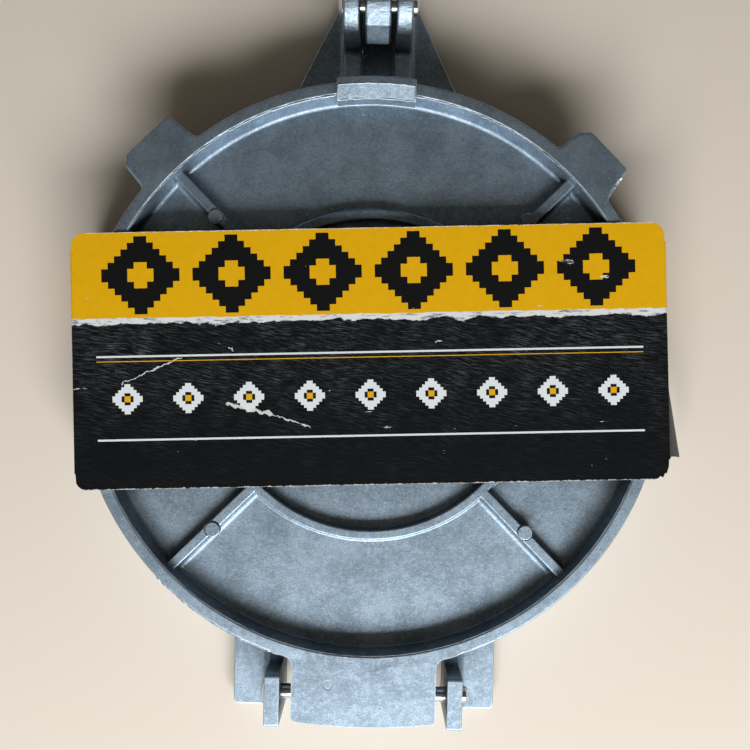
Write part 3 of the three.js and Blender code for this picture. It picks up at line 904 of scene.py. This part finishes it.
def leverPocket(side):
    d = leverDetails
    slope = (d["depth"] - d["tipDepth"]) / (d["taperEnd"] - d["eye"])
    top = d["pressFace"] - d["pocketFlange"]
    near, far = d["pocket"]
    floors = [slope * (reach - d["eye"]) - d["depth"] + d["pocketFlange"] for reach in (near, far)]
    corners = ((near, floors[0]), (far, floors[1]), (far, top), (near, top))
    shape = roundCorners([(*corner, d["pocketRound"]) for corner in corners], 8)
    face = d["width"] / 2
    floor = face - d["pocketDepth"]
    if side > 0:
        return prism(shape, floor, face + 1, 0.9, 0, axis="X", steps=4)
    return prism(shape, -face - 1, -floor, 0, 0.9, axis="X", steps=4)


# Rounded sections that swell from the beam and close in a round end
def leverGrip(steps=48, sides=48):
    d = leverDetails
    middle = (d["pressFace"] - d["tipDepth"]) / 2
    straightEnd = d["reach"] - d["gripRound"]
    power = lambda value: copysign(abs(value) ** (2 / d["squareness"]), value)
    rings = []
    for i in range(steps):
        swell = min(1.0, 2 * i / steps)
        ease = (1 - cos(pi * swell)) / 2
        angle = max(0.0, 2 * i / steps - 1) * pi / 2
        reach = d["gripStart"] + (d["gripFull"] - d["gripStart"]) * swell
        if angle:
            reach = straightEnd + d["gripRound"] * sin(angle)
        sizes = zip(d["gripRoot"], d["gripHalf"])
        wide, deep = (cos(angle) * (root + (full - root) * ease) for root, full in sizes)
        rings.append([(wide * power(cos(a)), reach, middle + deep * power(sin(a))) for a in turns(sides)])
    return skin([*rings, [(0, d["reach"], middle)]])


def makeLever():
    d = leverDetails
    half = d["width"] / 2
    face, tip, edge = d["pressFace"], d["tipDepth"], d["edge"]
    crest = [(reach, sqrt(d["eyeRound"] ** 2 - reach ** 2)) for reach in (7.5, 5.0, 2.5, 0, -2.5, -5.0, -7.5)]
    side = roundCorners([
        (-d["heel"], -d["heelBottom"], 1.3), (d["eye"], -d["depth"], 2.0), (d["taperEnd"], -tip, 6.0),
        (d["beamEnd"], -tip + edge), (d["beamEnd"], face - edge), (d["taperEnd"], face, 6.0),
        (d["pressStart"], face, 6.0), (d["eye"], d["heelTop"], 6.0), *crest,
        (-d["heel"], d["heelTop"] - 1.8, 0.6),
    ], 8)
    piece = asObject("press_lever_casting", prism(side, -half, half, edge, edge, axis="X", steps=5))
    cut(piece, [leverPocket(-1), leverPocket(1)])
    join(piece, leverGrip())
    cut(piece, rod(0, 0, plates["boreRadius"], -half - 1, half + 1, 64))
    shade(piece, 38)
    # laid back until the grip all but touches the table
    drop = d["gripHalf"][1] - (face - tip) / 2
    straightEnd = d["reach"] - d["gripRound"]
    dip = asin((leverSpot.z - d["clearance"]) / hypot(straightEnd, drop)) - atan2(drop, straightEnd)
    toFrame(piece, leverSpot, Matrix.Rotation(-dip, 4, "X"))
    dress(piece, groundCasting, coarseCasting)
    for polygon in piece.data.polygons:
        # the heel's end is left as cast
        if polygon.normal.y < -0.9:
            polygon.material_index = 1
    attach(piece, "press_lever")
    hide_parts("lever")
    return piece


rivetDetails = {
    "radius": 2.7,
    "clearance": 0.3,
    "headRadius": 5.5,
    "headHeight": 2.0,
    "peenRadius": 3.15,
    # half the width between the heads, length of the peened end, place, the CAD's node and the piece's name
    "hinge": (36.5, 3.0, hingeSpot, "hinge_rivet", "hinge_pin_rivet"),
    "lever": (12.55, 2.5, leverSpot, "lever_rivet", "lever_pin_rivet"),
}


# A domed head on the left, the shank, and an end hammered over on the right
def makeRivet(which, seed):
    d = rivetDetails
    half, length, spot, cadNode, name = d[which]
    head, shank, peen = d["headRadius"], d["radius"], d["peenRadius"]
    cap = (head ** 2 + d["headHeight"] ** 2) / (2 * d["headHeight"])
    angles = [asin(head / cap) * k / 14 for k in range(14)]
    under = -half - d["clearance"]
    start = half + d["clearance"]
    end = half + length
    dome = [(cap * sin(angle), under - d["headHeight"] + cap * (1 - cos(angle))) for angle in angles]
    profile = roundCorners([
        *dome, (head, under, 0.25), (shank, under, 0.3), (shank, start), (peen, start, 0.2),
        (peen, end - 0.9, 0.6), (peen - 0.9, end - 0.05, 0.6),
        (1.6, end - 0.1), (0.8, end - 0.15), (0, end - 0.2),
    ], 3)
    bm = lathe(profile, 56)
    for vertex in bm.verts:
        x, y, z = vertex.co
        if z > start + 0.3:
            push = 1 - 0.10 * abs(wander(x, y, seed, 1.5)) - 0.04 * abs(wander(x, y, seed + 3, 0.7))
            vertex.co.x *= push
            vertex.co.y *= push
            vertex.co.z -= 0.30 * abs(wander(x, y, seed + 5, 1.1)) * min(1, (z - start) / length)
        if z < under - 0.2:
            vertex.co.z += 0.06 * abs(wander(x, y, seed + 9, 1.6))
    bm.transform(Matrix.Rotation(pi / 2, 4, "Y"))
    piece = asObject(name, bm)
    shade(piece, 50)
    toFrame(piece, spot)
    dress(piece, rivetMetal)
    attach(piece, "base")
    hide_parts(cadNode)
    return piece


lever = makeLever()
print("lever made:", len(lever.data.polygons), "faces")
for which, seed in (("hinge", 2.0), ("lever", 8.0)):
    makeRivet(which, seed)
print("rivets made")


# Millimetres round the middle of the card, before it is turned a little on the plates
cardDetails = {
    "halfWidth": 108.9,
    "halfHeight": 47.0,
    "thickness": 0.6,
    "top": 30.9,
    "corners": {"leftFront": (6.2, 6.0), "leftRear": (5.0, 6.0),
                "rightFront": (6.2, 7.0), "rightRear": (5.2, 7.2)},
    "slant": 2.6,
    # scuffs: from, to, width
    "scuffs": (((-91, -8.6), (-69, 1.0), 0.32), ((-52, -16.5), (-36, -20.5), 1.0),
               ((-36, -20.5), (-22, -25.5), 0.35), ((-51.5, 4.2), (-50.0, 3.2), 0.5),
               ((24.5, 4.5), (26.5, 4.9), 0.4)),
    "flapDepth": 25.0,
    "splay": 1.6,
    "rightSpread": 9.9,
    "foldRadius": 0.8,
    "sag": 0.28,
    "centre": (-0.3, 6.7),
    "turn": 0.042,
    "tearLine": 15.6,
    "tearWidth": 2.2,
    "edgeWear": 47.62,
    "yellow": ((0.74, 0.375, 0.004, 1), (0.86, 0.465, 0.006, 1)),
    "black": (0.004, 0.0045, 0.005, 1),
    "streak": (0.15, 0.165, 0.18, 1),
    # the flap's black lightened to a bluish grey: a painted sheen
    "flapPaintedSheen": (0.045, 0.062, 0.072, 1),
    "paper": (0.78, 0.78, 0.76, 1),
    "crack": (0.22, 0.24, 0.27, 1),
    "board": ((0.30, 0.25, 0.19, 1), (0.55, 0.49, 0.40, 1)),
}


# How far the card reaches forwards (end 1) or backwards (end -1) at a place along its width
def cardReach(x, end):
    d = cardDetails
    wide, high = d["corners"][("left" if x < 0 else "right") + ("Front" if end > 0 else "Rear")]
    along = max(0.0, min(1.0, (abs(x) - d["halfWidth"] + wide) / wide))
    return d["halfHeight"] - high * (1 - sqrt(1 - along ** 2.4))


# The card's outer face at a column, from the left flap's edge to the right one's, and a row from -1 to 1
def cardSpot(part, along, row, side):
    d = cardDetails
    end = 1 if row > 0 else -1
    y = row * cardReach(side * d["halfWidth"], end)
    splay = d["splay"] + (d["rightSpread"] * (1 - row) / 2 if side > 0 else 0)
    low = d["top"] - d["thickness"] - sqrt(d["flapDepth"] ** 2 - splay ** 2)
    angle = atan2(d["top"] - low, splay)
    tangent = d["foldRadius"] * tan(angle / 2)
    if part == "face":
        x = side * (d["halfWidth"] - tangent) * along
        y = row * cardReach(x, end)
        z = d["top"]
    elif part == "fold":
        turn = angle * along
        x = side * (d["halfWidth"] - tangent + d["foldRadius"] * sin(turn))
        z = d["top"] - d["foldRadius"] * (1 - cos(turn))
    else:
        start = Vector((cos(angle), -sin(angle))) * tangent
        finish = Vector((splay, low - d["top"]))
        x, z = start + (finish - start) * along
        x = side * (d["halfWidth"] + x)
        z += d["top"]
        if side > 0:
            # the right flap's rear end is cut on a slant
            y -= d["slant"] * (along - 0.4) * (1 - row) / 2
    return Vector((x, y, z))


def makeCard():
    d = cardDetails
    columns = [("flap", 1 - k / 9, -1) for k in range(9)] + [("fold", 1 - k / 5, -1) for k in range(5)]
    columns += [("face", 1 - k / 16 * 0.06, -1) for k in range(16)]
    columns += [("face", 0.94 - 0.94 * k / 40, -1) for k in range(40)]
    columns += [(part, along, 1) for part, along, _ in reversed(columns)]
    columns.insert(len(columns) // 2, ("face", 0.0, 1))
    rows = [2 * k / 56 - 1 for k in range(57)]
    bm = bmesh.new()
    grid = []
    for part, along, side in columns:
        line = []
        for row in rows:
            spot = cardSpot(part, along, row, side)
            edge = max(0.0, abs(row) - 0.9) / 0.1
            spot.y += 0.12 * edge * wander(spot.x, spot.y, 4, 3.5)
            if part == "face":
                # the torn rear right corner, and the sag of the sheet between the rims
                nearCorner = max(0.0, 1 - hypot(spot.x - 106.0, spot.y + 44.0) / 5.5)
                spot.y += edge * nearCorner * (0.6 + 2.4 * wander(spot.x, spot.y, 9, 1.1)) * (row < 0)
                middle = max(0.0, 1 - (spot.x / 98.0) ** 2) * max(0.0, 1 - abs(row) ** 3 * 0.4)
                spot.z -= d["sag"] * middle * (0.75 + 0.25 * wander(spot.x, spot.y, 1, 30.0))
            line.append(bm.verts.new(spot))
        grid.append(line)
    for a, b in zip(grid, grid[1:]):
        for i in range(len(rows) - 1):
            bm.faces.new((a[i], b[i], b[i + 1], a[i + 1]))
    piece = asObject("card_band_sheet", bm)
    if piece.data.polygons[len(piece.data.polygons) // 2].normal.z < 0:
        piece.data.flip_normals()
    dress(piece, cardPrint, cardBoard)
    modify(piece, "SOLIDIFY", thickness=d["thickness"], offset=-1, use_even_offset=True,
           material_offset=1, material_offset_rim=1)
    smooth(piece, 50)
    toFrame(piece, discSpot, Matrix.Translation((*d["centre"], 0)) @ Matrix.Rotation(d["turn"], 4, "Z"))
    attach(piece, "band")
    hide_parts("card_band")
    return piece


# From 0 to 1 as the value passes an edge
def step(value, edge, soft):
    return carry(value, edge - soft, edge + soft)


def inBand(value, low, high, soft):
    return minus(step(value, low, soft), step(value, high, soft))


# Place on the card in millimetres, x along it and y up it
def cardPlace():
    centre = (discSpot + Vector((*cardDetails["centre"], 0))) * mm
    values = {"Location": tuple(centre), "Rotation": (0, 0, cardDetails["turn"]), "Scale": (mm, mm, mm)}
    coords = node("TexCoord").outputs["Object"]
    return node("Mapping", {"Vector": coords, **values}, vector_type="TEXTURE").outputs[0]


# A rough scuff from one place on the card to another
def scuffLine(place, start, end, width):
    way = Vector((end[0] - start[0], end[1] - start[1], 0))
    bend = vectorCalc("SUBTRACT", spread(place, 0.5, 5, 0.5, "Color"), (0.5, 0.5, 0.5))
    bent = vectorCalc("ADD", vectorCalc("SCALE", bend, Scale=3.0), place)
    fromStart = vectorCalc("SUBTRACT", bent, (*start, 0))
    along = vectorCalc("DOT_PRODUCT", fromStart, way / way.length_squared, "Value")
    nearest = vectorCalc("SCALE", tuple(way), Scale=calc("ADD", along, 0.0, clamp=True))
    away = vectorCalc("MULTIPLY", vectorCalc("SUBTRACT", fromStart, nearest), (1, 1, 0))
    thick = times(spread(place, 0.45, 4, 0.7), 2.0)
    far = minus(calc("DIVIDE", vectorCalc("LENGTH", away, out="Value"), width), thick)
    return ramp(plus(far, 0.5), [(0.0, 1.0), (0.25, 0.0)])


# The plain ornament, in millimetres on the card
ornament = {
    "halfLength": 99.9,
    "bigRow": (33.3, 31.2, 2.38),    # period, height of the row, size of a step
    "bigShift": 16.65,
    "smallRow": (22.2, -14.0, 1.1),
    "whiteLines": ((1.2, 1.9), (-29.3, -28.6)),
    "yellowLine": (-0.4, -0.1),
    "ink": (0.007, 0.007, 0.007, 1),
    "white": (0.78, 0.80, 0.80, 1),
    "yellow": (0.80, 0.42, 0.010, 1),
}


# Plain stepped diamonds in a row: how far a place is from the middle of its diamond, in steps
def steppedRow(x, y, period, middle, size):
    across = calc("PINGPONG", plus(x, 400 * period), period / 2)
    up = calc("ABSOLUTE", minus(y, middle))
    return plus(*(calc("FLOOR", calc("DIVIDE", way, size)) for way in (across, up)))


def printedCard():
    d, o = cardDetails, ornament
    material, shader = newMaterial("printedCard")
    place = cardPlace()
    x, y, _ = parts(place)

    def streaks(scale, stretch, detail, seed=0.0):
        return spread(mapped(place, Scale=(stretch, 1, 1), Location=(seed, seed, 0)), scale, detail, 0.62)

    # the torn strip between the colours
    upper = plus(y, times(minus(streaks(0.35, 0.5, 6), 0.5), 1.6))
    lower = plus(y, times(minus(streaks(0.16, 0.6, 8, 5.0), 0.5), 7.0))
    isYellow = step(upper, d["tearLine"], 0.12)
    isBlack = minus(1.0, step(lower, d["tearLine"] - d["tearWidth"], 0.15))
    cracks = ramp(streaks(0.9, 0.22, 6, 2.0), [(0.36, 0.0), (0.47, 1.0)])
    paper = mixColours(cracks, d["crack"], d["paper"])

    # slate-like black with fine light streaks
    waved = node("CombineXYZ", {"X": x, "Y": plus(y, times(spread(place, 0.05, 2), 4.0))}).outputs[0]
    leaning = mapped(mapped(waved, Rotation=(0, 0, 0.21)), Scale=(0.11, 1.7, 1))
    lines = ramp(spread(leaning, 1.5, 8, 0.72), [(0.50, 0.0), (0.68, 1.0)])
    patches = ramp(spread(place, 0.06, 3), [(0.35, 0.25), (0.65, 1.0)])
    lines = times(lines, times(patches, carry(y, -34.0, 4.0, 0.12, 1.0)))
    black = mixColours(lines, d["black"], d["streak"])
    # painted sheen: on the right flap the black passes into a lighter bluish grey
    black = mixColours(carry(x, 110.0, 118.0), black, d["flapPaintedSheen"])

    # the plain ornament: stepped diamonds above, thin lines and small diamonds below
    within = calc("LESS_THAN", calc("ABSOLUTE", x), o["halfLength"])
    big = inBand(steppedRow(plus(x, o["bigShift"]), y, *o["bigRow"]), 1.5, 5.5, 0.01)
    yellow = mixColours(spread(place, 0.35, 5, 0.7), *d["yellow"])
    yellow = mixColours(times(big, within), yellow, o["ink"])
    small = steppedRow(x, y, *o["smallRow"])
    rules = plus(*(inBand(y, low, high, 0.05) for low, high in o["whiteLines"]))
    isWhite = times(larger(inBand(small, 1.5, 4.5, 0.01), rules), within)
    isGold = times(larger(calc("LESS_THAN", small, 0.5), inBand(y, *o["yellowLine"], 0.05)), within)
    black = mixColours(isWhite, black, o["white"])
    black = mixColours(isGold, black, o["yellow"])
    colour = mixColours(isBlack, mixColours(isYellow, paper, yellow), black)

    # scuffs through to the paper, and worn edges
    scratch = ramp(streaks(0.32, 0.28, 7, 9.0), [(0.70, 0.0), (0.72, 1.0)])
    edge = plus(calc("ABSOLUTE", y), times(spread(place, 0.8, 4, 0.7), 1.6))
    worn = larger(scratch, step(edge, d["edgeWear"], 0.10))
    for start, end, width in d["scuffs"]:
        worn = larger(worn, scuffLine(place, start, end, width))
    height = plus(times(spread(place, 2.2, 4), 0.4), times(worn, -0.6))
    feed(shader, {
        "Base Color": mixColours(times(worn, 0.85), colour, d["paper"]),
        "Specular IOR Level": 0.09,
        "Roughness": plus(0.52, times(worn, 0.3)),
        "Normal": relief(height, 0.25, 0.0001),
    })
    return material


# The raw board that shows at the card's edges and inside
def rawBoard():
    material, shader = newMaterial("rawBoard")
    fibres = spread(cardPlace(), 1.6, 6, 0.7)
    feed(shader, {"Base Color": mixColours(fibres, *cardDetails["board"]), "Roughness": 0.8})
    return material


cardPrint = printedCard()
cardBoard = rawBoard()
card = makeCard()
print("card band made:", len(card.data.polygons), "faces")


stageLook = {
    "floor": ((0.80, 0.70, 0.595, 1), (0.55, 0.49, 0.40, 1)),
    "floorHalf": 9.0,
    "skyLow": 0.015,
    "skyTop": 0.088,
    "skyWindow": 0.32,
    "roomColour": (1.0, 0.91, 0.75, 1),
    "windowPower": 24.5,
    "windowColour": (0.93, 0.97, 1.0),
    "windowSize": (1.2, 0.5),
    "windowPlace": (0.12, -1.09, 0.76),
    "windowTarget": (0, -0.1, 0),
    "fadeFrom": 0.42,    # metres from the press where the floor begins to pass into white
    "fadeTo": 1.7,
    "skyline": 0.10,
}


# 1 for what the camera sees, and for what shiny or clear things show of it
def seenDirectly():
    path = node("LightPath").outputs
    return larger(path["Is Camera Ray"], path["Is Transmission Ray"]), path["Is Glossy Ray"]


def makeFloor():
    size = stageLook["floorHalf"]
    bm = bmesh.new()
    bm.faces.new([bm.verts.new((x * size, y * size, 0)) for x, y in ((-1, -1), (1, -1), (1, 1), (-1, 1))])
    floor = asObject("floor", bm)
    material, shader = newMaterial("paleFloor")
    coords = node("TexCoord").outputs["Object"]
    cloud = times(spread(coords, 3.0, 3), 0.12)
    feed(shader, {"Base Color": mixColours(cloud, *stageLook["floor"]), "Roughness": 0.8})
    # far from the press the floor passes into the white background
    away = vectorCalc("LENGTH", coords, out="Value")
    fade = carry(away, stageLook["fadeFrom"], stageLook["fadeTo"], kind="SMOOTHSTEP")
    fade = times(fade, larger(*seenDirectly()))
    white = node("Emission", {"Color": grey(1), "Strength": 1.0}).outputs[0]
    blend = node("MixShader", {0: fade, 1: shader.outputs[0], 2: white}).outputs[0]
    feed(tree.nodes["Material Output"], {"Surface": blend})
    dress(floor, material)


def makeWindow():
    look = stageLook
    lamp = bpy.data.lights.new("window", "AREA")
    setAll(lamp, {"shape": "RECTANGLE", "color": look["windowColour"], "energy": look["windowPower"]})
    lamp.size, lamp.size_y = look["windowSize"]
    window = addObject("window", lamp)
    window.location = look["windowPlace"]
    way = Vector(look["windowTarget"]) - window.location
    window.rotation_euler = way.to_track_quat("-Z", "Y").to_euler()


# A dim room, lighter towards the window's side; the camera sees plain white, and shiny things a white skyline
def makeWorld():
    look = stageLook
    world = bpy.data.worlds.new("studio")
    beginTree(world)
    _, y, z = parts(node("TexCoord").outputs["Generated"])
    towards = calc("POWER", larger(times(y, -1.0), 0.0), 1.5)
    above = calc("POWER", larger(z, 0.0), 3.0)
    strength = plus(plus(times(towards, look["skyWindow"]), look["skyLow"]), times(above, look["skyTop"]))
    direct, shiny = seenDirectly()
    isSeen = larger(direct, times(shiny, calc("LESS_THAN", z, look["skyline"])))
    feed(tree.nodes["Background"], {
        "Strength": mixColours(isSeen, strength, grey(1)),
        "Color": mixColours(isSeen, look["roomColour"], grey(1)),
    })
    bpy.context.scene.world = world


# Millimetres over the middle of the plates, and degrees
cameraLook = {"height": 345.0, "lens": 41.28, "offset": (1.72, -0.15), "turn": 1.3}


def makeCamera():
    turn = Matrix.Rotation(radians(cameraLook["turn"]), 2)
    shift = turn @ Vector(cameraLook["offset"])
    data = bpy.data.cameras.new("overhead")
    setAll(data, {"lens": cameraLook["lens"], "sensor_width": 36, "clip_start": 0.01})
    camera = addObject("overhead", data)
    camera.location = ((discSpot.x + shift.x) * mm, (discSpot.y + shift.y) * mm, cameraLook["height"] * mm)
    camera.rotation_euler = (0, 0, radians(cameraLook["turn"]))
    bpy.context.scene.camera = camera


makeFloor()
makeWorld()
makeWindow()
makeCamera()
bpy.context.scene.view_settings.view_transform = "Standard"
print("floor, light and camera made")
